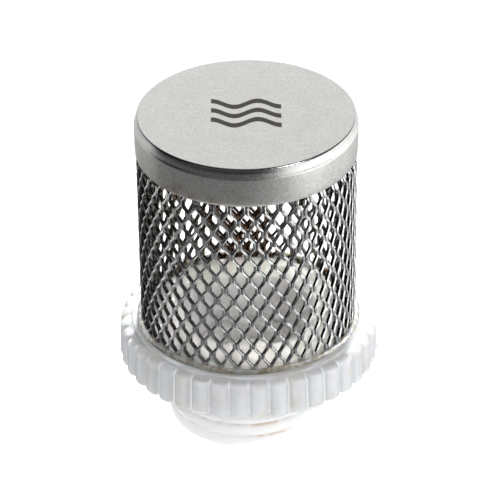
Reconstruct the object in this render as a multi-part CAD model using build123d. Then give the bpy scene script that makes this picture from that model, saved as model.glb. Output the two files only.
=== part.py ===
"""Foot valve: stainless strainer basket on a threaded nylon base with a spring-loaded check poppet.

Millimetres. The axis is Z, the capped end of the basket is up and Z = 0 is the end face of the
threaded spigot. Water enters through the basket, passes down through the seat and the open
poppet, and leaves at the spigot.
"""
import os
from math import cos, pi, radians, sin

from build123d import *

# ---- spigot, a G 1/2 male thread
THREAD_MAJOR_R = 20.955 / 2
THREAD_MINOR_R = 18.631 / 2
THREAD_PITCH = 1.814
CREST_FLAT = 0.36
FIRST_CREST_Z = 0.80
CRESTS = 4
SPIGOT_CHAMFER = 0.35

# ---- collar, the hand grip of the base
COLLAR_BOTTOM_Z = 9.24
SHOULDER_Z = 14.0
COLLAR_R = 16.85
SHOULDER_R = 16.1
RIBS = 40
RIB_GROOVE_R = 0.42
FLOOR_Z = 14.7

# ---- bore of the base
WELL_R = 8.4
WEB_R = 6.4
WEB_TOP_Z = 10.0
WEB_BOTTOM_Z = 9.2
BORE_R = 7.7
SNAP_GROOVE_R = 8.1
SNAP_GROOVE_Z = (0.30, 0.90)

# ---- strainer basket
BASKET_R = 14.0
BASKET_WALL = 1.2                # height of the raised mesh, not of its strands
SOCKET_DEPTH = 1.5
NECK_R = 13.68
CELLS_ROUND = 41
CELL_HEIGHT = 3.36
HOLE_HALF_WIDTH = 0.66
HOLE_HALF_HEIGHT = 1.18
HOLE_ROWS = 14
FIRST_HOLE_Z = 16.1

# ---- cap
CAP_R = 14.1
CAP_TOP_Z = 44.2
CAP_EDGE_Z = 38.9
CAP_SHEET = 0.35
CAP_CORNER_R = 0.5
CAP_BAND_R = 14.03              # the band under the corner, a step in from the skirt
CAP_BAND_BOTTOM_Z = 43.0
CAP_ROLL_R = 0.45

# ---- check valve
SLIP = 0.05                     # radial running or assembly clearance
SEAT_BOTTOM_Z = 6.9
THROAT_R = 5.0
O_RING_SECTION_R = 0.6
POPPET_R = 6.2
POPPET_Z = 5.2                  # underside of the disc, valve shut
POPPET_DISC = 0.75
SLEEVE_BOTTOM_Z = 4.5
NOSE_TOP_Z = 9.1
POST_R = 1.4
POST_TOP_Z = 5.45
SPIDER_Z = (0.92, 2.0)
SPRING_WIRE_R = 0.2
SPRING_END_R = (5.95, 3.0)      # on the spider, under the poppet
SPRING_TURNS = 3


def ring(inner_r, outer_r, low_z, high_z):
    """A plain ring round the axis."""
    height = high_z - low_z
    shell = Cylinder(outer_r, height) - Cylinder(inner_r, height)
    return Pos(0, 0, (low_z + high_z) / 2) * shell


def turned(outline):
    """A solid turned round the axis from (radius, height) points."""
    wire = Polyline(*[(r, 0, z) for r, z in outline], close=True)
    return revolve(make_face(wire), Axis.Z, 360)


def thread_outline():
    """Radius and height points up the spigot: chamfered end, crests, then the run-out relief."""
    flank = (THREAD_PITCH - 2 * CREST_FLAT) / 2
    points = [(THREAD_MAJOR_R - SPIGOT_CHAMFER, 0), (THREAD_MAJOR_R, SPIGOT_CHAMFER)]
    for crest in range(CRESTS):
        middle = FIRST_CREST_Z + crest * THREAD_PITCH
        if crest:
            points.append((THREAD_MAJOR_R, middle - CREST_FLAT / 2))
        points.append((THREAD_MAJOR_R, middle + CREST_FLAT / 2))
        points.append((THREAD_MINOR_R, middle + CREST_FLAT / 2 + flank))
        if crest < CRESTS - 1:
            points.append((THREAD_MINOR_R, middle + THREAD_PITCH - CREST_FLAT / 2 - flank))
    return points


def base():
    """Moulded nylon base: threaded spigot, ribbed collar, socket for the basket and stepped bore."""
    gasket_recess_r, gasket_recess_z = 13.4, 10.24
    socket_r = (BASKET_R - BASKET_WALL - SLIP, BASKET_R + SLIP)
    outline = thread_outline() + [
        (THREAD_MINOR_R, gasket_recess_z), (gasket_recess_r, gasket_recess_z),
        (gasket_recess_r, COLLAR_BOTTOM_Z), (COLLAR_R - 0.2, COLLAR_BOTTOM_Z),
        (COLLAR_R, COLLAR_BOTTOM_Z + 0.3), (COLLAR_R - 0.1, SHOULDER_Z - 0.75),
        (COLLAR_R - 0.3, SHOULDER_Z - 0.25), (SHOULDER_R, SHOULDER_Z),
        (15.05, FLOOR_Z - 0.35), (socket_r[1], FLOOR_Z - 0.35),
        (socket_r[1], FLOOR_Z - SOCKET_DEPTH), (socket_r[0], FLOOR_Z - SOCKET_DEPTH),
        (socket_r[0], FLOOR_Z), (WELL_R + 0.3, FLOOR_Z), (WELL_R, FLOOR_Z - 0.3),
        (WELL_R, WEB_TOP_Z + 0.9), (WELL_R - 0.9, WEB_TOP_Z), (WEB_R, WEB_TOP_Z),
        (WEB_R, WEB_BOTTOM_Z), (BORE_R, WEB_BOTTOM_Z), (BORE_R, SNAP_GROOVE_Z[1]),
        (SNAP_GROOVE_R, SNAP_GROOVE_Z[1]), (SNAP_GROOVE_R, SNAP_GROOVE_Z[0]),
        (BORE_R, SNAP_GROOVE_Z[0]), (BORE_R, 0.2), (BORE_R + 0.2, 0),
    ]
    grip = Cylinder(RIB_GROOVE_R, 2 * (SHOULDER_Z - COLLAR_BOTTOM_Z))
    grooves = [
        Rot(0, 0, 360 / RIBS * i) * Pos(COLLAR_R + 0.02, 0, COLLAR_BOTTOM_Z) * grip
        for i in range(RIBS)
    ]
    return turned(outline) - grooves


def bond_bead():
    """Cured resin fillet that holds the foot of the basket to the collar."""
    low_z, high_z, outer_r = FLOOR_Z - 0.35, FLOOR_Z + 0.7, 15.0
    return turned([
        (BASKET_R + SLIP, low_z), (outer_r, low_z), (outer_r, high_z - 0.45),
        (outer_r - 0.12, high_z - 0.15), (outer_r - 0.4, high_z), (BASKET_R + 0.3, high_z - 0.05),
        (BASKET_R + SLIP, high_z - 0.25),
    ])


def collar_gasket():
    """Flat gasket in the recess under the collar."""
    return ring(10.6, 13.35, 8.9, 10.2)


def basket():
    """Tube of diamond expanded steel, necked in a little where the cap goes over it."""
    inner_r = BASKET_R - BASKET_WALL
    neck_low_z, neck_high_z, top_z = CAP_EDGE_Z - 1.3, CAP_EDGE_Z - 0.15, CAP_BAND_BOTTOM_Z - 0.1
    tube = turned([
        (inner_r, FLOOR_Z - SOCKET_DEPTH + SLIP), (BASKET_R, FLOOR_Z - SOCKET_DEPTH + SLIP),
        (BASKET_R, neck_low_z), (NECK_R, neck_high_z), (NECK_R, top_z), (inner_r, top_z),
    ])
    diamond = Polyline(
        (HOLE_HALF_WIDTH, 0), (0, HOLE_HALF_HEIGHT), (-HOLE_HALF_WIDTH, 0), (0, -HOLE_HALF_HEIGHT),
        close=True,
    )
    punch = extrude(Plane.YZ * make_face(diamond), 4)
    punch = Pos(inner_r - 1.5, 0, 0) * punch
    cell = 360 / CELLS_ROUND
    punches = [
        Rot(0, 0, cell * (i + row % 2 / 2)) * Pos(0, 0, FIRST_HOLE_Z + row * CELL_HEIGHT / 2) * punch
        for row in range(HOLE_ROWS)
        for i in range(CELLS_ROUND)
    ]
    return tube - punches


def cap():
    """Pressed cap: flat top, round corner, a band stepped in, skirt with its lower edge turned in."""
    corner_z, roll_z = CAP_TOP_Z - CAP_CORNER_R, CAP_EDGE_Z + CAP_ROLL_R
    flat_r, inner_top_z = CAP_BAND_R - CAP_CORNER_R, CAP_TOP_Z - CAP_SHEET
    inner_band_r, inner_r = CAP_BAND_R - CAP_SHEET, CAP_R - CAP_SHEET
    corner_share = CAP_CORNER_R * sin(radians(45))
    outside = [
        (CAP_BAND_R, corner_z), (CAP_BAND_R, CAP_BAND_BOTTOM_Z + 0.05), (CAP_R, CAP_BAND_BOTTOM_Z),
        (CAP_R, roll_z), (CAP_R - 0.2, CAP_EDGE_Z), (inner_r, CAP_EDGE_Z), (inner_r, CAP_BAND_BOTTOM_Z),
        (inner_band_r, CAP_BAND_BOTTOM_Z), (inner_band_r, inner_top_z), (0, inner_top_z),
        (0, CAP_TOP_Z), (flat_r, CAP_TOP_Z),
    ]
    corner = ThreePointArc(
        (flat_r, 0, CAP_TOP_Z), (flat_r + corner_share, 0, corner_z + corner_share),
        (CAP_BAND_R, 0, corner_z),
    )
    outline = corner + Polyline(*[(r, 0, z) for r, z in outside])
    return revolve(make_face(outline), Axis.Z, 360)


def seat_ring():
    """Seat insert: throat with a rounded mouth, flat seat underneath, O-ring groove outside."""
    groove_r, groove_z = BORE_R - 2 * O_RING_SECTION_R - 0.02, (7.4, 8.75)
    outer_r, top_z = BORE_R - SLIP, WEB_BOTTOM_Z - SLIP
    return turned([
        (THROAT_R, SEAT_BOTTOM_Z), (outer_r - 0.3, SEAT_BOTTOM_Z), (outer_r, SEAT_BOTTOM_Z + 0.2),
        (outer_r, groove_z[0]), (groove_r, groove_z[0]), (groove_r, groove_z[1]),
        (outer_r, groove_z[1]), (outer_r, top_z), (THROAT_R + 0.8, top_z),
        (THROAT_R + 0.25, top_z - 0.25), (THROAT_R, top_z - 0.8),
    ])


def seat_o_ring():
    """O-ring between the seat insert and the bore."""
    return Pos(0, 0, 8.075) * Torus(BORE_R - O_RING_SECTION_R - 0.01, O_RING_SECTION_R - 0.01)


def poppet():
    """Valve poppet: disc, guide sleeve underneath, hollow nose with the snap bead for the retainer."""
    disc_top_z, bore_r, bore_top_z = POPPET_Z + POPPET_DISC, POST_R + SLIP, 8.3
    return turned([
        (0, bore_top_z), (bore_r, bore_top_z - 0.2), (bore_r, SLEEVE_BOTTOM_Z),
        (2.3, SLEEVE_BOTTOM_Z), (2.3, POPPET_Z), (POPPET_R - 0.2, POPPET_Z),
        (POPPET_R, POPPET_Z + 0.2), (POPPET_R, disc_top_z), (3.6, disc_top_z), (3.6, 6.48),
        (3.2, 6.48), (3.2, 7.12), (3.4, 7.2), (3.4, 7.35), (3.1, 7.7), (2.6, 8.3), (1.8, 8.8),
        (0.9, 9.03), (0, NOSE_TOP_Z),
    ])


def poppet_seal():
    """Rubber face seal: thin inner lip under the retainer, thick outer band against the seat."""
    low_z, high_z = POPPET_Z + POPPET_DISC, SEAT_BOTTOM_Z - 0.02
    return turned([
        (3.62, low_z), (5.9, low_z), (5.9, high_z - 0.1), (5.8, high_z), (5.2, high_z),
        (4.62, high_z - 0.25), (4.62, 6.46), (3.62, 6.46),
    ])


def seal_retainer():
    """Snap washer that clamps the seal's inner lip."""
    return turned([(3.22, 6.5), (4.55, 6.5), (4.55, 6.85), (4.2, 7.1), (3.22, 7.1)])


def guide_spider():
    """Outlet guide: rim, four spokes and a hub with the post that the poppet slides on."""
    low_z, high_z = SPIDER_Z
    rim_r, hub_r, spoke = (5.6, BORE_R - SLIP), 2.4, 1.2
    body = ring(*rim_r, low_z, high_z)
    body += Pos(0, 0, (low_z + high_z) / 2) * Cylinder(hub_r, high_z - low_z)
    arm_length = rim_r[0] + 0.5
    arm = Pos(arm_length / 2, 0, (low_z + high_z) / 2) * Box(arm_length, spoke, high_z - low_z)
    for quarter in range(4):
        body += Rot(0, 0, 90 * quarter) * arm
    post = turned([
        (0, low_z), (POST_R, low_z), (POST_R, POST_TOP_Z - 0.4), (POST_R - 0.4, POST_TOP_Z),
        (0, POST_TOP_Z),
    ])
    return body + post


def return_spring():
    """Conical wire spring between the spider's rim and the underside of the poppet."""
    clearance = 0.02
    low_z = SPIDER_Z[1] + SPRING_WIRE_R + clearance
    height = POPPET_Z - SPRING_WIRE_R - clearance - low_z
    wide_r, narrow_r = SPRING_END_R
    steps = 8 * SPRING_TURNS
    points = []
    for i in range(steps + 1):
        along = i / steps
        turn = 2 * pi * SPRING_TURNS * along
        r = wide_r + (narrow_r - wide_r) * along
        points.append((r * cos(turn), r * sin(turn), low_z + height * along))
    path = Spline(*points)
    section = Plane(path @ 0, z_dir=path % 0) * Circle(SPRING_WIRE_R)
    return sweep(section, path)


def retaining_ring():
    """Open snap ring in the groove at the spigot's mouth."""
    body = ring(7.0, SNAP_GROOVE_R - SLIP, SNAP_GROOVE_Z[0] + SLIP, SNAP_GROOVE_Z[1] - SLIP)
    gap = Pos(SNAP_GROOVE_R - 1, 0, SNAP_GROOVE_Z[0]) * Box(4, 3.2, 4)
    return body - gap


def main():
    nodes = {
        "cap": cap(),
        "basket": basket(),
        "base": base(),
        "bond_bead": bond_bead(),
        "collar_gasket": collar_gasket(),
        "seat_ring": seat_ring(),
        "seat_o_ring": seat_o_ring(),
        "poppet": poppet(),
        "poppet_seal": poppet_seal(),
        "seal_retainer": seal_retainer(),
        "guide_spider": guide_spider(),
        "return_spring": return_spring(),
        "retaining_ring": retaining_ring(),
    }
    os.makedirs("parts", exist_ok=True)
    for name, solid in nodes.items():
        export_step(solid, f"parts/{name}.step")


main()
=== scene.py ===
"""Looks of the foot valve: stainless strainer basket on a milky nylon base, with its check valve."""
import math

import bpy
import numpy as np
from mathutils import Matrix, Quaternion, Vector


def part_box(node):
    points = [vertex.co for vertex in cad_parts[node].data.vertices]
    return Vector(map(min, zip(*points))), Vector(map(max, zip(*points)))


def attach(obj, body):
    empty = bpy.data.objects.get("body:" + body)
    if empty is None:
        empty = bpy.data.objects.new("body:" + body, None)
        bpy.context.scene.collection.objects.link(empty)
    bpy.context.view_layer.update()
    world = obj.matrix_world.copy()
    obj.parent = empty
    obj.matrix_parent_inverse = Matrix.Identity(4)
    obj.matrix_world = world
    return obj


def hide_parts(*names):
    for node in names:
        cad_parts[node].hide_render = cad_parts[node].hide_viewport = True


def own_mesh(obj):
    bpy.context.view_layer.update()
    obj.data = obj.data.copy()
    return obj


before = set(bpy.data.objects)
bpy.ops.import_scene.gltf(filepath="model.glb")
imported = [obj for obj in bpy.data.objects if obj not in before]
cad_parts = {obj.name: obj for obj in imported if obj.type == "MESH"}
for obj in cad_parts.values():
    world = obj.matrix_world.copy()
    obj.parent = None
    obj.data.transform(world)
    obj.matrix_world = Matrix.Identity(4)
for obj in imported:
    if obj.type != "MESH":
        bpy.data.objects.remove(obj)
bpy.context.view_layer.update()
MM = 0.001                              # a millimetre, in metres

# ---- places read from the frame (shapes are worked out in millimetres and scaled when built)
basket_low, basket_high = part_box("basket")
cap_low, cap_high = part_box("cap")
base_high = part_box("base")[1]
bead_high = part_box("bond_bead")[1]

FLOOR_Z = base_high.z / MM              # floor of the basket, the base's top
COLLAR_R = base_high.x / MM             # over the ribs
BASKET_R = basket_high.x / MM
CAP_R = cap_high.x / MM
CAP_TOP_Z = cap_high.z / MM
CAP_EDGE_Z = cap_low.z / MM

# ---- base
RIBS = 40
THREAD_PITCH = 1.814
THREAD_MAJOR_R = 10.4775
THREAD_MINOR_R = 9.32
COLLAR_BOTTOM_Z = 9.24
SHOULDER_Z = 14.0                       # top of the collar's rounded edge
SOCKET_R = (12.75, 14.05)               # walls of the groove that the basket stands in
SOCKET_DEPTH = 1.5
WELL_R = 8.4                            # inlet, above the web
WEB_R = 6.4                             # the web that the seat ring sits under
WEB_TOP_Z = 10.0
WEB_BOTTOM_Z = 9.2
BORE_R = 7.7                            # outlet, below the web
SNAP_GROOVE_R = 8.1
SNAP_GROOVE_Z = (0.3, 0.9)

# ---- basket, expanded metal
LINES = 81                              # slit lines round the tube, one strand between each two
ROW_PITCH = 1.663                       # height from one staggered row of bonds to the next
LEAN = math.radians(-0.146)             # turn of a slit line per millimetre of height
FIRST_LINE = math.radians(1.6)          # where the first slit line stands, level with the floor
ROW_PHASE = 0.37                        # the first line's bond above the floor, in row pitches
STRAND_WIDTH = 0.42
STRAND_THICKNESS = 0.50
STRAND_TILT = math.radians(15)          # strands stand a little like louvres
BOND_HALF = 0.23                        # share of a row's pitch that half a bond takes
SEAM_TURN = math.radians(97)            # where the sheet's two ends overlap, at the back
SEAM_LINES = 9                          # strands of the inner end, in the overlap
SEAM_INSET = 0.5                        # how far inside the outer end they lie
SEAM_SHIFT = 0.45                       # and how far round from its strands, in lines


# =====================================================================================
# mesh helpers
# =====================================================================================
def add_mesh(name, points, faces):
    """A smooth-shaded mesh object from points in millimetres."""
    mesh = bpy.data.meshes.new(name)
    mesh.from_pydata((np.asarray(points) * MM).tolist(), [], [tuple(f) for f in faces])
    mesh.update()
    mesh.polygons.foreach_set("use_smooth", [True] * len(mesh.polygons))
    piece = bpy.data.objects.new(name, mesh)
    bpy.context.scene.collection.objects.link(piece)
    return piece


def grid_faces(rows, columns, start=0, close_rows=True):
    """Quads over a rows by columns grid of points: columns always wrap round, rows when asked."""
    i = np.arange(rows if close_rows else rows - 1)
    i, j = (x.ravel() for x in np.meshgrid(i, np.arange(columns), indexing="ij"))
    i_next, j_next = (i + 1) % rows, (j + 1) % columns
    corners = [i * columns + j, i * columns + j_next, i_next * columns + j_next, i_next * columns + j]
    return start + np.stack(corners, 1)


def sharp_by_angle(piece, degrees):
    """Smooth shading that breaks at edges sharper than the angle."""
    piece.data.set_sharp_from_angle(angle=math.radians(degrees))


def smooth_step(value, low, high):
    """0 below low, 1 above high, eased between."""
    share = np.clip((value - low) / (high - low), 0, 1)
    return share * share * (3 - 2 * share)


def arc(centre, radius, start_deg, end_deg, steps):
    """(r, z) points on an arc, or on an ellipse's when radius is a pair; angles from the +r direction."""
    radius_r, radius_z = radius if isinstance(radius, tuple) else (radius, radius)
    angles = np.radians(np.linspace(start_deg, end_deg, steps))
    return [(centre[0] + radius_r * math.cos(a), centre[1] + radius_z * math.sin(a)) for a in angles]


def revolved(name, outline, steps, shape):
    """A closed surface turned from a closed (r, z) outline; shape changes (r, z) by the turn."""
    outline = np.array(outline, float)
    turn = np.linspace(0, 2 * math.pi, steps, endpoint=False)[:, None]
    r = np.repeat(outline[:, 0][None], steps, 0)
    z = np.repeat(outline[:, 1][None], steps, 0)
    r, z = shape(r, z, turn)
    points = np.stack([r * np.cos(turn), r * np.sin(turn), z], 2).reshape(-1, 3)
    return add_mesh(name, points, grid_faces(steps, len(outline)))


# =====================================================================================
# node helpers
# =====================================================================================
class Nodes:
    """Short calls for building one node tree."""

    def __init__(self, tree):
        self.tree = tree

    def add(self, kind, **values):
        node = self.tree.nodes.new(kind)
        for key, value in values.items():
            setattr(node, key, value)
        return node

    def link(self, source, target):
        self.tree.links.new(source, target)

    def put(self, socket, value):
        if isinstance(value, bpy.types.NodeSocket):
            self.link(value, socket)
        else:
            socket.default_value = value

    def maths(self, operation, a, b=0.0, c=0.0):
        node = self.add("ShaderNodeMath", operation=operation)
        for socket, value in zip(node.inputs, (a, b, c)):
            self.put(socket, value)
        return node.outputs[0]

    def product(self, *values):
        result = values[0]
        for value in values[1:]:
            result = self.maths("MULTIPLY", result, value)
        return result

    def apart(self, a, b):
        """How far two values are from each other."""
        return self.maths("ABSOLUTE", self.maths("SUBTRACT", a, b))

    def noise(self, vector, scale, detail=4.0, roughness=0.55):
        node = self.add("ShaderNodeTexNoise")
        self.link(vector, node.inputs["Vector"])
        node.inputs["Scale"].default_value = scale
        node.inputs["Detail"].default_value = detail
        node.inputs["Roughness"].default_value = roughness
        return node.outputs["Fac"]

    def span(self, value, low, high, to_low=0.0, to_high=1.0, smooth=False):
        """A value from low to high, mapped to to_low to to_high and held beyond them."""
        node = self.add("ShaderNodeMapRange", interpolation_type="SMOOTHSTEP" if smooth else "LINEAR")
        for socket, item in zip(node.inputs, (value, low, high, to_low, to_high)):
            self.put(socket, item)
        return node.outputs[0]

    def patches(self, vector, scale, detail, low, high, to_low=0.0, to_high=1.0):
        """Noise, spread from the low to high of its range over to_low to to_high."""
        return self.span(self.noise(vector, scale, detail), low, high, to_low, to_high)

    def line(self, value, middle, half):
        """1 at the middle, 0 from half away on."""
        return self.span(self.apart(value, middle), 0.0, half, 1.0, 0.0)

    def mix(self, factor, a, b):
        node = self.add("ShaderNodeMix", data_type="RGBA")
        self.put(node.inputs[0], factor)
        self.put(node.inputs[6], a)
        self.put(node.inputs[7], b)
        return node.outputs[2]

    def bump(self, height, strength, distance):
        node = self.add("ShaderNodeBump")
        self.link(height, node.inputs["Height"])
        node.inputs["Strength"].default_value = strength
        node.inputs["Distance"].default_value = distance
        return node.outputs["Normal"]

    def dot(self, vector, other):
        node = self.add("ShaderNodeVectorMath", operation="DOT_PRODUCT")
        self.put(node.inputs[0], vector)
        self.put(node.inputs[1], other)
        return node.outputs["Value"]

    def place(self):
        """Object coordinates in millimetres, and their parts."""
        coordinates = self.add("ShaderNodeTexCoord").outputs["Object"]
        scale = self.add("ShaderNodeVectorMath", operation="SCALE")
        self.link(coordinates, scale.inputs[0])
        scale.inputs["Scale"].default_value = 1 / MM
        parts = self.add("ShaderNodeSeparateXYZ")
        self.link(scale.outputs[0], parts.inputs[0])
        return scale.outputs[0], parts.outputs

    def radius(self, x, y):
        return self.maths("SQRT", self.maths("ADD", self.product(x, x), self.product(y, y)))


def grey(value):
    return (value, value, value, 1.0)


def material(name):
    """A new material: (material, node helper, principled shader)."""
    new = bpy.data.materials.new(name)
    new.use_nodes = True
    nodes = Nodes(new.node_tree)
    return new, nodes, new.node_tree.nodes["Principled BSDF"]


def translucent(shader, weight, radius, scale):
    """Lets light scatter under the surface; scale is in millimetres."""
    shader.inputs["Subsurface Weight"].default_value = weight
    shader.inputs["Subsurface Radius"].default_value = radius
    shader.inputs["Subsurface Scale"].default_value = scale * MM


# =====================================================================================
# materials
# =====================================================================================
def etched_waves(n, x, y, z):
    """Mask of the mark etched in the cap: three parallel waves."""
    height, gap, half_stroke, half_length, wave_length, edge = 0.75, 2.3, 0.55, 4.4, 5.8, 0.04
    swing = n.maths("SINE", n.product(x, 2 * math.pi / wave_length))
    across = n.maths("SUBTRACT", y, n.product(swing, height))
    nearest = n.maths("ROUND", n.maths("DIVIDE", across, gap))
    nearest = n.maths("MINIMUM", n.maths("MAXIMUM", nearest, -1.0), 1.0)
    away = n.apart(across, n.product(nearest, gap))
    stroke = n.span(away, half_stroke - edge, half_stroke + edge, 1.0, 0.0)
    ends = n.span(n.maths("ABSOLUTE", x), half_length - edge, half_length + edge, 1.0, 0.0)
    on_top = n.span(z, CAP_TOP_Z - 0.12, CAP_TOP_Z - 0.05)
    return n.product(stroke, ends, on_top)


def cap_steel():
    """Satin pressed stainless: smoother corner with a painted dark reflection, etched mark, faint brown
    tint low on the skirt.
    """
    new, n, shader = material("cap_steel")
    place, (x, y, z) = n.place()
    grain = n.noise(place, 3.2, 4.0, 0.7)
    broad = n.noise(place, 0.35, 3.0)
    base = n.mix(n.span(grain, 0.3, 0.7), (0.52, 0.515, 0.50, 1), (0.79, 0.785, 0.77, 1))
    base = n.mix(n.span(broad, 0.4, 0.75, 0.0, 0.3), base, (0.54, 0.53, 0.50, 1))
    low = n.span(z, CAP_EDGE_Z + 0.2, CAP_EDGE_Z + 3.6, 1.0, 0.0, smooth=True)
    blotch = n.patches(place, 0.6, 3.0, 0.5, 0.66)
    tint = n.product(low, blotch, n.span(x, 2.0, -10.0, 0.1, 0.8))
    base = n.mix(tint, base, (0.40, 0.28, 0.16, 1))
    # painted reflection: the corner ring is painted darker for the dark line it reflects from overhead; it
    # is also made smoother
    corner = n.product(n.span(n.radius(x, y), 13.4, 13.55), n.span(z, CAP_TOP_Z - 0.7, CAP_TOP_Z - 0.5))
    base = n.mix(n.product(corner, 0.6), base, grey(0.42))
    mark = etched_waves(n, x, y, z)
    n.put(shader.inputs["Base Color"], n.mix(mark, base, (0.11, 0.10, 0.085, 1)))
    shader.inputs["Metallic"].default_value = 1.0
    rough = n.maths("SUBTRACT", n.span(grain, 0.25, 0.75, 0.24, 0.36), n.product(corner, 0.17))
    n.put(shader.inputs["Roughness"], n.maths("ADD", rough, n.product(mark, 0.2)))
    n.put(shader.inputs["Normal"], n.bump(n.noise(place, 4.0, 5.0, 0.7), 0.35, 0.00005))
    return new


def mesh_steel():
    """Expanded stainless: bright faces, sides painted dark as shade, inward faces painted dark brown as
    shade, brown where the seam was welded.
    """
    new, n, shader = material("mesh_steel")
    place, (x, y, _) = n.place()
    fine = n.noise(place, 2.4, 5.0)
    outer = n.mix(n.span(fine, 0.35, 0.65), grey(0.47), (0.76, 0.76, 0.75, 1))
    outward = n.add("ShaderNodeCombineXYZ")
    n.link(x, outward.inputs[0])
    n.link(y, outward.inputs[1])
    normal = n.add("ShaderNodeNewGeometry").outputs["Normal"]
    # about 1 on a strand's outward face, 0 on its sheared sides and -1 on its inward face
    facing = n.maths("DIVIDE", n.dot(normal, outward.outputs[0]), BASKET_R)
    # painted shade: the strands' sides are painted much darker than their outward faces
    sheared_side_shade = n.mix(n.span(fine, 0.35, 0.65), grey(0.13), (0.23, 0.227, 0.224, 1))
    steel = n.mix(n.span(facing, 0.75, 0.35), outer, sheared_side_shade)
    # painted shade: faces turned inward are painted dark brown for the shade inside the basket
    steel = n.mix(n.span(facing, -0.2, -0.6), steel, (0.13, 0.105, 0.08, 1))
    from_seam = n.apart(n.maths("ARCTAN2", y, x), SEAM_TURN)
    burnt = n.product(n.span(from_seam, 0.42, 0.10), n.patches(place, 0.9, 3.0, 0.35, 0.6, 0.35, 0.95))
    n.put(shader.inputs["Base Color"], n.mix(burnt, steel, (0.12, 0.06, 0.032, 1)))
    shader.inputs["Metallic"].default_value = 1.0
    n.put(shader.inputs["Roughness"], n.patches(place, 1.1, 3.0, 0.3, 0.7, 0.08, 0.18))
    n.put(shader.inputs["Normal"], n.bump(n.noise(place, 3.4, 5.0), 0.3, 0.00005))
    return new


def nylon():
    """Milky translucent nylon: painted light in the grooves between the ribs with painted shade beside it,
    cream floor and well painted lighter as light, brown patches in the thread's root, specks.
    """
    new, n, shader = material("nylon")
    place, (x, y, z) = n.place()
    r = n.radius(x, y)
    turn = n.maths("ARCTAN2", y, x)
    cloud = n.patches(place, 0.2, 3.0, 0.3, 0.7)
    base = n.mix(cloud, (0.58, 0.59, 0.605, 1), (0.66, 0.67, 0.685, 1))
    # handled plastic: warm stains in patches
    stains = n.patches(place, 0.45, 3.0, 0.48, 0.66, 0.0, 0.55)
    base = n.mix(stains, base, (0.55, 0.525, 0.465, 1))
    # painted light: a bright line in each groove between the ribs, and painted shade: a greyer band beside
    # each
    pad = n.maths("FRACT", n.product(turn, RIBS / (2 * math.pi)))
    off = n.product(n.apart(pad, 0.5), 2.0)
    on_side = n.product(n.span(r, 15.2, 15.9), n.span(z, COLLAR_BOTTOM_Z, COLLAR_BOTTOM_Z + 0.3))
    base = n.mix(n.product(n.line(off, 1.0, 0.14), on_side, 0.9), base, (0.97, 0.98, 0.99, 1))
    base = n.mix(n.product(n.line(pad, 0.82, 0.16), on_side, 0.5), base, (0.50, 0.51, 0.52, 1))
    # floor under the basket, and the well below it: cream, painted lighter than the collar as painted light
    # for light through the nylon, lightest in the well
    floor = n.product(n.span(r, BASKET_R, BASKET_R - 1.0), n.span(z, 8.6, 9.6))
    cream = n.mix(n.patches(place, 0.5, 3.0, 0.35, 0.65), (0.87, 0.845, 0.79, 1), (0.96, 0.94, 0.90, 1))
    cream = n.mix(n.span(z, FLOOR_Z - 0.1, FLOOR_Z - 0.5), cream, (0.97, 0.95, 0.92, 1))
    base = n.mix(floor, base, cream)
    # spigot, with brown patches in the thread's root
    spigot = n.span(z, COLLAR_BOTTOM_Z - 0.6, COLLAR_BOTTOM_Z - 1.2)
    base = n.mix(spigot, base, (0.97, 0.97, 0.965, 1))
    root = n.span(r, THREAD_MINOR_R + 0.45, THREAD_MINOR_R + 0.1)
    thread_root_brown = n.product(root, n.patches(place, 0.28, 3.0, 0.5, 0.62), n.span(r, 9.0, 9.2), spigot)
    base = n.mix(n.product(thread_root_brown, 0.6), base, (0.62, 0.50, 0.36, 1))
    # dark specks all over
    speck = n.patches(place, 2.6, 1.0, 0.84, 0.87)
    base = n.mix(n.product(speck, 0.7), base, (0.25, 0.22, 0.18, 1))
    n.put(shader.inputs["Base Color"], base)
    n.put(shader.inputs["Roughness"], n.patches(place, 1.4, 4.0, 0.3, 0.7, 0.14, 0.28))
    translucent(shader, 1.0, (1.0, 1.0, 1.0), 1.6)
    shader.inputs["IOR"].default_value = 1.5
    n.put(shader.inputs["Normal"], n.bump(n.noise(place, 0.8, 4.0), 0.4, 0.00015))
    return new


def resin():
    """Clear yellowish cured resin."""
    new, n, shader = material("resin")
    place, _ = n.place()
    streak = n.patches(place, 1.3, 4.0, 0.4, 0.6)
    n.put(shader.inputs["Base Color"], n.mix(streak, (0.50, 0.42, 0.26, 1), (0.97, 0.96, 0.90, 1)))
    n.put(shader.inputs["Roughness"], n.patches(place, 2.0, 3.0, 0.3, 0.7, 0.05, 0.16))
    shader.inputs["Transmission Weight"].default_value = 0.75
    translucent(shader, 1.0, (1.0, 0.9, 0.6), 0.8)
    n.put(shader.inputs["Normal"], n.bump(n.noise(place, 1.6, 3.0), 0.5, 0.0002))
    return new


def acetal():
    """White moulded acetal with a soft sheen."""
    new, n, shader = material("acetal")
    place, _ = n.place()
    cloud = n.patches(place, 0.5, 3.0, 0.3, 0.7)
    n.put(shader.inputs["Base Color"], n.mix(cloud, (0.90, 0.885, 0.86, 1), (0.95, 0.94, 0.92, 1)))
    n.put(shader.inputs["Roughness"], n.patches(place, 3.0, 3.0, 0.3, 0.7, 0.3, 0.45))
    translucent(shader, 0.6, (1.0, 1.0, 1.0), 0.8)
    n.put(shader.inputs["Normal"], n.bump(n.noise(place, 6.0, 4.0), 0.2, 0.00004))
    return new


def rubber(name, dark, light):
    """Moulded rubber with a faint bloom."""
    new, n, shader = material(name)
    place, _ = n.place()
    n.put(shader.inputs["Base Color"], n.mix(n.patches(place, 1.2, 5.0, 0.35, 0.7), dark, light))
    n.put(shader.inputs["Roughness"], n.patches(place, 5.0, 4.0, 0.3, 0.7, 0.5, 0.75))
    n.put(shader.inputs["Normal"], n.bump(n.noise(place, 12.0, 4.0), 0.3, 0.00003))
    return new


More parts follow.
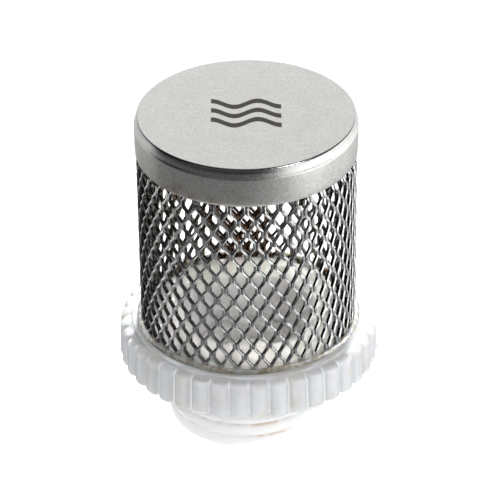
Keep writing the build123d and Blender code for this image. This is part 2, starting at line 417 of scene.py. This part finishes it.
def wire_steel():
    """Drawn stainless wire."""
    new, n, shader = material("wire_steel")
    place, _ = n.place()
    drawn = n.patches(place, 6.0, 4.0, 0.35, 0.65)
    n.put(shader.inputs["Base Color"], n.mix(drawn, grey(0.52), (0.68, 0.68, 0.67, 1)))
    shader.inputs["Metallic"].default_value = 1.0
    n.put(shader.inputs["Roughness"], n.patches(place, 9.0, 3.0, 0.3, 0.7, 0.2, 0.35))
    return new


# =====================================================================================
# the basket: expanded metal
# =====================================================================================
def strand_section():
    """(along the width, along the thickness) corners of a strand with its edges broken."""
    half_w, half_t, broken = STRAND_WIDTH / 2, STRAND_THICKNESS / 2, 0.08
    return np.array([
        (half_w, half_t - broken), (half_w - broken, half_t),
        (-half_w + broken, half_t), (-half_w, half_t - broken),
        (-half_w, -half_t + broken), (-half_w + broken, -half_t),
        (half_w - broken, -half_t), (half_w, -half_t + broken),
    ])


def strand_stations(line, low, high):
    """Heights up one strand, with each one's swing: 0 on the strand's left line, 1 on its right line."""
    z_first = FLOOR_Z + ROW_PITCH * (line / LINES + ROW_PHASE)
    first_row = math.floor((low - z_first) / ROW_PITCH) - 1
    last_row = math.ceil((high - z_first) / ROW_PITCH)
    rows = np.arange(first_row, last_row + 1)
    in_row = np.array([0, BOND_HALF, 0.35, 0.5, 0.65, 1 - BOND_HALF])
    row = (rows[:, None] + in_row[None]).ravel()
    z = z_first + row * ROW_PITCH
    margin = ROW_PITCH * 0.3
    keep = (z > low - margin) & (z < high + margin)
    rise = 1 - np.abs((row[keep] + line) % 2 - 1)
    swing = np.clip((rise - BOND_HALF) / (1 - 2 * BOND_HALF), 0, 1)
    return np.clip(z[keep], low, high), swing


def make_basket():
    """Zigzag strands, each bonded to its neighbours in turn, and a few more where the ends overlap."""
    end_gap = 0.1
    low, high = basket_low.z / MM + end_gap, basket_high.z / MM - end_gap
    reach = STRAND_WIDTH * math.sin(STRAND_TILT) + STRAND_THICKNESS / 2 * math.cos(STRAND_TILT)
    # the tube is drawn in just below the cap's edge, to fit inside the cap
    neck_low, neck_high, neck_depth = CAP_EDGE_Z - 1.3, CAP_EDGE_Z - 0.15, 0.32
    line_turn = 2 * math.pi / LINES
    uneven_tilt = math.radians(2.5)
    section = strand_section()
    sides = len(section)
    first_overlap = round((SEAM_TURN - FIRST_LINE) / line_turn) - SEAM_LINES // 2
    strands = [(line, 0.0, 0.0) for line in range(LINES)]
    strands += [(line, SEAM_INSET, SEAM_SHIFT) for line in range(first_overlap, first_overlap + SEAM_LINES)]
    points, faces, start = [], [], 0
    for line, inset, shift in strands:
        z, swing = strand_stations(line, low, high)
        theta = (FIRST_LINE + line_turn * (line + shift + swing) + LEAN * (z - FLOOR_Z))[:, None]
        tilt = STRAND_TILT + uneven_tilt * math.sin(line * 2.4)
        tangent, outward = math.cos(tilt), math.sin(tilt)
        across = section[:, 0] * tangent + section[:, 1] * outward
        lift = section[:, 0] * outward - section[:, 1] * tangent
        side = (STRAND_WIDTH / 2 * (1 - 2 * swing))[:, None]
        neck = neck_depth * smooth_step(z, neck_low, neck_high)
        middle_r = (BASKET_R - reach - inset - neck)[:, None]
        along = across[None] + side * tangent
        out = middle_r + lift[None] + side * outward
        x = out * np.cos(theta) - along * np.sin(theta)
        y = out * np.sin(theta) + along * np.cos(theta)
        count = len(z)
        points.append(np.stack([x, y, np.repeat(z[:, None], sides, 1)], 2).reshape(-1, 3))
        faces += grid_faces(count, sides, start, close_rows=False).tolist()
        faces.append(range(start + sides - 1, start - 1, -1))
        faces.append(range(start + (count - 1) * sides, start + count * sides))
        start += count * sides
    piece = add_mesh("basket_strands", np.concatenate(points), faces)
    sharp_by_angle(piece, 40)
    return piece


# =====================================================================================
# the cap
# =====================================================================================
def make_cap():
    """Thin pressed sheet: flat top, tight corner, conical band down to a crease, skirt, edge rolled in."""
    sheet, roll_r, crease_z = 0.35, 0.36, CAP_TOP_Z - 1.2
    corner_width, corner_height, band_r = 0.27, 0.46, CAP_R - 0.11
    corner_r, corner_z = 13.57, CAP_TOP_Z - corner_height
    pinhole_r = 0.02                    # the outline can't touch the axis
    outer = [(pinhole_r, CAP_TOP_Z), (4, CAP_TOP_Z), (9, CAP_TOP_Z), (corner_r - 0.05, CAP_TOP_Z)]
    outer += arc((corner_r, corner_z), (corner_width, corner_height), 88, 22, 10)
    outer += [(band_r, crease_z + 0.12), (band_r + 0.02, crease_z + 0.04), (CAP_R - 0.02, crease_z - 0.02)]
    outer += [(CAP_R - 0.01, crease_z - 0.3), (CAP_R - 0.01, crease_z - 1.4)]
    outer += [(CAP_R - 0.02, CAP_EDGE_Z + 1.3), (CAP_R - 0.04, CAP_EDGE_Z + 0.7)]
    outer += arc((CAP_R - 0.42, CAP_EDGE_Z + roll_r), roll_r, -5, -105, 8)
    inner = [(CAP_R - 0.53, CAP_EDGE_Z + 0.25), (CAP_R - sheet - 0.03, CAP_EDGE_Z + 0.7)]
    inner += [(CAP_R - sheet - 0.02, crease_z - 0.1), (band_r - sheet, crease_z + 0.1)]
    inner += [(13.45, corner_z), (13.2, CAP_TOP_Z - sheet), (4, CAP_TOP_Z - sheet)]
    inner += [(pinhole_r, CAP_TOP_Z - sheet)]

    def dent(r, z, turn):
        """The skirt of a pressed cap is never quite true."""
        low = np.clip((CAP_TOP_Z - z) / (CAP_TOP_Z - CAP_EDGE_Z), 0, 1)
        wave = 0.012 * np.sin(3 * turn + 0.7) + 0.009 * np.sin(7 * turn + 2.1)
        return r - (0.02 + wave) * low * (r > CAP_R - 0.8), z

    piece = revolved("cap_shell", outer + inner, 320, dent)
    sharp_by_angle(piece, 60)
    return piece


# =====================================================================================
# the base
# =====================================================================================
def thread_radius(turn, z):
    """Radius of a right-hand helical thread, from a plain rim at the end to a neck as thin as its root."""
    rim_z, full_z, neck_z, run_out = 0.25, 0.9, 7.4, 0.9
    phase = (z / THREAD_PITCH - turn / (2 * math.pi)) % 1.0
    from_crest = np.abs(phase - 0.5) * 2
    full_depth = THREAD_MAJOR_R - THREAD_MINOR_R
    depth = full_depth * smooth_step(from_crest, 0.2, 0.8) * smooth_step(z, rim_z, full_z)
    crest_r = THREAD_MINOR_R + full_depth * np.clip((neck_z - z) / run_out, 0, 1)
    return np.minimum(crest_r, THREAD_MAJOR_R - depth)


def make_base():
    """One moulding: threaded spigot, ribbed collar, floor, socket and stepped bore."""
    gasket_recess_r, gasket_recess_z = 13.4, 10.24
    groove_depth, pad_fall, ribs_from_r, ribs_fade = 0.28, 0.36, 15.3, 0.7
    thread_low, thread_high, thread_steps, steps_per_rib = 0.35, 8.2, 88, 20
    spigot = [(THREAD_MAJOR_R, z) for z in np.linspace(thread_low, thread_high, thread_steps)]
    under = [(THREAD_MINOR_R, 9.6), (THREAD_MINOR_R, gasket_recess_z)]
    under += [(gasket_recess_r, gasket_recess_z), (gasket_recess_r, 9.45)]
    under += [(13.6, COLLAR_BOTTOM_Z), (15.5, COLLAR_BOTTOM_Z)]
    side = [(16.55, COLLAR_BOTTOM_Z), (16.78, COLLAR_BOTTOM_Z + 0.09), (COLLAR_R, COLLAR_BOTTOM_Z + 0.3)]
    side += [(COLLAR_R - 0.02 * k, COLLAR_BOTTOM_Z + 0.3 + 0.46 * k) for k in range(1, 8)]
    shoulder = arc((COLLAR_R - 0.94, SHOULDER_Z - 0.8), 0.8, 0, 80, 8)
    shoulder += [(15.6, SHOULDER_Z + 0.03), (15.2, SHOULDER_Z + 0.1)]
    top = [(15.05, FLOOR_Z - 0.35), (SOCKET_R[1], FLOOR_Z - 0.35), (SOCKET_R[1], FLOOR_Z - SOCKET_DEPTH)]
    top += [(SOCKET_R[0], FLOOR_Z - SOCKET_DEPTH), (SOCKET_R[0], FLOOR_Z - 0.1)]
    top += [(SOCKET_R[0] - 0.1, FLOOR_Z), (11.5, FLOOR_Z), (10.0, FLOOR_Z), (9.0, FLOOR_Z)]
    well = arc((WELL_R + 0.3, FLOOR_Z - 0.3), 0.3, 90, 180, 5)
    well += [(WELL_R, 12.6), (WELL_R, 11.2), (WELL_R, 10.9), (WELL_R - 0.9, WEB_TOP_Z)]
    well += [(WEB_R + 0.2, WEB_TOP_Z), (WEB_R, WEB_TOP_Z - 0.2), (WEB_R, WEB_BOTTOM_Z)]
    bore = [(BORE_R, WEB_BOTTOM_Z), (BORE_R, 6.0), (BORE_R, 3.0), (BORE_R, SNAP_GROOVE_Z[1])]
    bore += [(SNAP_GROOVE_R, SNAP_GROOVE_Z[1]), (SNAP_GROOVE_R, SNAP_GROOVE_Z[0])]
    bore += [(BORE_R, SNAP_GROOVE_Z[0]), (BORE_R, 0.2)]
    end = [(7.9, 0), (9.9, 0), (THREAD_MAJOR_R - 0.32, 0), (THREAD_MAJOR_R - 0.1, 0.12)]
    outline = spigot + under + side + shoulder + top + well + bore + end
    spigot_end = len(spigot)
    collar_start, collar_end = spigot_end + len(under) - 1, spigot_end + len(under + side + shoulder)

    def shape(r, z, turn):
        """The thread on the spigot's points, and ribs on the collar's: rounded pads, narrow grooves."""
        column = np.arange(r.shape[1])[None]
        r = np.where(column < spigot_end, thread_radius(turn, z), r)
        pad = (turn * RIBS / (2 * math.pi)) % 1.0
        off = np.abs(pad - 0.5) * 2
        cut = groove_depth * smooth_step(off, 0.66, 1.0) + pad_fall * off ** 2
        cut = cut * np.clip((r - ribs_from_r) / ribs_fade, 0, 1)
        on_collar = (column >= collar_start) & (column < collar_end)
        return np.where(on_collar, r - cut, r), z

    piece = revolved("base_moulding", outline, RIBS * steps_per_rib, shape)
    sharp_by_angle(piece, 48)
    return piece


def make_bead():
    """Resin ring, a little uneven, round the foot of the basket."""
    low, high = FLOOR_Z - 0.33, bead_high.z / MM - 0.08
    inner, outer = BASKET_R - 0.12, BASKET_R + 0.42
    outline = [(inner, low), (outer, low), (outer + 0.04, low + 0.05), (outer - 0.06, low + 0.14)]
    outline += arc((inner + 0.13, low + 0.36), (0.24, 0.22), -30, 100, 9)
    outline += [(inner, low + 0.58)]

    def uneven(r, z, turn):
        lift = 0.05 * np.sin(5 * turn + 1.0) + 0.05 * np.sin(13 * turn) + 0.03 * np.sin(37 * turn + 2.0)
        return r, z + (lift - 0.04) * np.clip((z - low) / (high - low), 0, 1)

    return revolved("bead_ring", outline, 400, uneven)


# =====================================================================================
# spring
# =====================================================================================
def make_spring():
    """Conical wire spring between the spider's rim and the poppet."""
    low, high = (corner.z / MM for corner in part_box("return_spring"))
    wire_r, turns, sides, steps = 0.2, 3, 12, 180
    wide_r, narrow_r = 5.95, 3.0
    share = np.linspace(0, 1, steps + 1)
    turn = 2 * math.pi * turns * share
    radius = wide_r + (narrow_r - wide_r) * share
    height = low + wire_r + (high - low - 2 * wire_r) * share
    centre = np.stack([radius * np.cos(turn), radius * np.sin(turn), height], 1)
    along = np.gradient(centre, axis=0)
    along /= np.linalg.norm(along, axis=1)[:, None]
    side = np.cross((0, 0, 1), along)
    side /= np.linalg.norm(side, axis=1)[:, None]
    lift = np.cross(along, side)
    angle = np.linspace(0, 2 * math.pi, sides, endpoint=False)[None, :, None]
    circle = (side[:, None] * np.cos(angle) + lift[:, None] * np.sin(angle)) * wire_r
    faces = grid_faces(steps + 1, sides, close_rows=False).tolist()
    faces.append(range(sides - 1, -1, -1))
    faces.append(range(steps * sides, (steps + 1) * sides))
    return add_mesh("spring_coil", (centre[:, None] + circle).reshape(-1, 3), faces)


# =====================================================================================
# assemble
# =====================================================================================
def dress(piece, node, finish):
    """Puts a piece of the housing in place of its CAD node."""
    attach(piece, "housing")
    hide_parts(node)
    piece.data.materials.append(finish)


def paint_node(node, finish):
    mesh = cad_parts[node].data
    mesh.materials.clear()
    mesh.materials.append(finish)


steel_wire = wire_steel()
white_acetal = acetal()
pale_silicone = rubber("seal_rubber", (0.60, 0.59, 0.55, 1), (0.74, 0.73, 0.70, 1))
dress(make_cap(), "cap", cap_steel())
dress(make_basket(), "basket", mesh_steel())
dress(make_base(), "base", nylon())
dress(make_bead(), "bond_bead", resin())
spring = make_spring()
dress(spring, "return_spring", steel_wire)
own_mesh(spring)
paint_node("collar_gasket", rubber("gasket_rubber", (0.5, 0.49, 0.46, 1), (0.6, 0.59, 0.56, 1)))
paint_node("retaining_ring", steel_wire)
for seal in ("seat_o_ring", "poppet_seal"):
    paint_node(seal, pale_silicone)
for inner in ("seat_ring", "poppet", "seal_retainer", "guide_spider"):
    paint_node(inner, white_acetal)


# =====================================================================================
# stage, light and camera
# =====================================================================================
def stage_floor():
    """White glowing table. It doesn't show in reflections, where the sky's table light stands for it."""
    half = 2000
    corners = [(-half, -half, 0), (half, -half, 0), (half, half, 0), (-half, half, 0)]
    floor = add_mesh("floor", corners, [(0, 1, 2, 3)])
    new, n, shader = material("floor_white")
    place, _ = n.place()
    n.put(shader.inputs["Base Color"], n.mix(n.noise(place, 0.02, 2.0), grey(0.50), grey(0.54)))
    shader.inputs["Roughness"].default_value = 0.9
    shader.inputs["Emission Color"].default_value = grey(1.0)
    shader.inputs["Emission Strength"].default_value = 0.78
    floor.data.materials.append(new)
    floor.visible_glossy = False


def sky():
    """Studio surroundings: white wall behind, soft box on the right, lit table, dim in front and above."""
    world = bpy.data.worlds.new("studio")
    bpy.context.scene.world = world
    world.use_nodes = True
    n = Nodes(world.node_tree)
    direction = n.add("ShaderNodeTexCoord").outputs["Generated"]
    parts = n.add("ShaderNodeSeparateXYZ")
    n.link(direction, parts.inputs[0])
    right, back, up = parts.outputs

    def toward(azimuth, elevation):
        a, e = math.radians(azimuth), math.radians(elevation)
        return n.dot(direction, (math.cos(e) * math.cos(a), math.cos(e) * math.sin(a), math.sin(e)))

    def step(value, start, end):
        return n.span(value, start, end, smooth=True)

    bright_side = n.span(right, -0.6, -0.15, 0.72, 1.15)
    high_only_behind = n.maths("MAXIMUM", step(n.maths("ABSOLUTE", right), 0.62, 0.40), step(up, 0.3, 0.1))
    wall = n.product(step(back, 0.12, 0.32), step(up, 0.72, 0.62), step(up, -0.7, -0.2), bright_side)
    wall = n.product(wall, high_only_behind)
    soft_box = step(toward(-20, 11), math.cos(math.radians(50)), math.cos(math.radians(24)))
    soft_box = n.product(soft_box, step(up, 0.34, 0.16), 1.45)
    under = n.product(step(up, -0.72, -0.95), 0.9)
    table = n.product(step(up, -0.05, -0.32), 0.19)
    lit_table = n.product(n.maths("POWER", n.maths("MAXIMUM", toward(-6, -25), 0.0), 2.5), 0.6)
    overhead = n.product(step(up, 0.90, 0.97), 0.22)
    front = n.product(step(back, -0.3, -0.7), step(up, 0.6, 0.4), step(up, -0.05, 0.1), 0.10)
    light = 0.02
    for item in (wall, soft_box, table, lit_table, under, overhead, front):
        light = n.maths("ADD", item, light)
    background = world.node_tree.nodes["Background"]
    n.link(light, background.inputs["Strength"])
    background.inputs["Color"].default_value = grey(1.0)


def studio_camera():
    """Long lens from the front, well above the cap."""
    elevation, roll = math.radians(32.6), math.radians(-0.63)
    target, distance = Vector((0.3, 0, FLOOR_Z + 9.16)) * MM, 0.388
    data = bpy.data.cameras.new("camera")
    data.lens, data.sensor_width = 217.16, 36.0
    data.clip_start, data.clip_end = 0.01, 20.0
    camera = bpy.data.objects.new("camera", data)
    bpy.context.scene.collection.objects.link(camera)
    back = Vector((0, -math.cos(elevation), math.sin(elevation)))
    camera.location = target + back * distance
    camera.rotation_mode = "QUATERNION"
    camera.rotation_quaternion = back.to_track_quat("Z", "Y") @ Quaternion((0, 0, 1), roll)
    bpy.context.scene.camera = camera


def aim(name, data, place, target):
    """A light at a place, turned to a target, that the camera doesn't see."""
    item = bpy.data.objects.new(name, data)
    bpy.context.scene.collection.objects.link(item)
    item.location = place
    item.rotation_mode = "QUATERNION"
    item.rotation_quaternion = (Vector(place) - Vector(target)).to_track_quat("Z", "Y")
    item.visible_camera = False
    return item


def soft_lamp(name, place, size, watts, glossy):
    """A round soft box aimed at the part; glossy says whether reflections show it."""
    middle_of_part = (0, 0, 0.02)
    data = bpy.data.lights.new(name, "AREA")
    data.shape, data.size, data.energy = "DISK", size, watts
    aim(name, data, place, middle_of_part).visible_glossy = glossy


def inside_lamp(name, place, radius, watts):
    """A narrow spot through the mesh onto the basket's floor, which stands for light through the nylon."""
    target = Vector((0, 0, FLOOR_Z * MM))
    data = bpy.data.lights.new(name, "SPOT")
    data.energy, data.shadow_soft_size, data.spot_blend = watts, 0.05, 0.35
    data.spot_size = 2 * math.atan(radius * MM / (Vector(place) - target).length)
    aim(name, data, place, target).visible_glossy = False


stage_floor()
sky()
studio_camera()
soft_lamp("key", (0.30, -0.24, 0.40), 0.14, 0.95, True)
soft_lamp("left", (-0.33, 0.14, 0.36), 0.30, 0.45, False)
inside_lamp("inside_back", (0.06, 0.36, 0.36), 11.0, 470.0)
inside_lamp("inside_front", (0.0, -0.42, 0.34), 8.5, 170.0)
bpy.context.scene.view_settings.view_transform = "Standard"
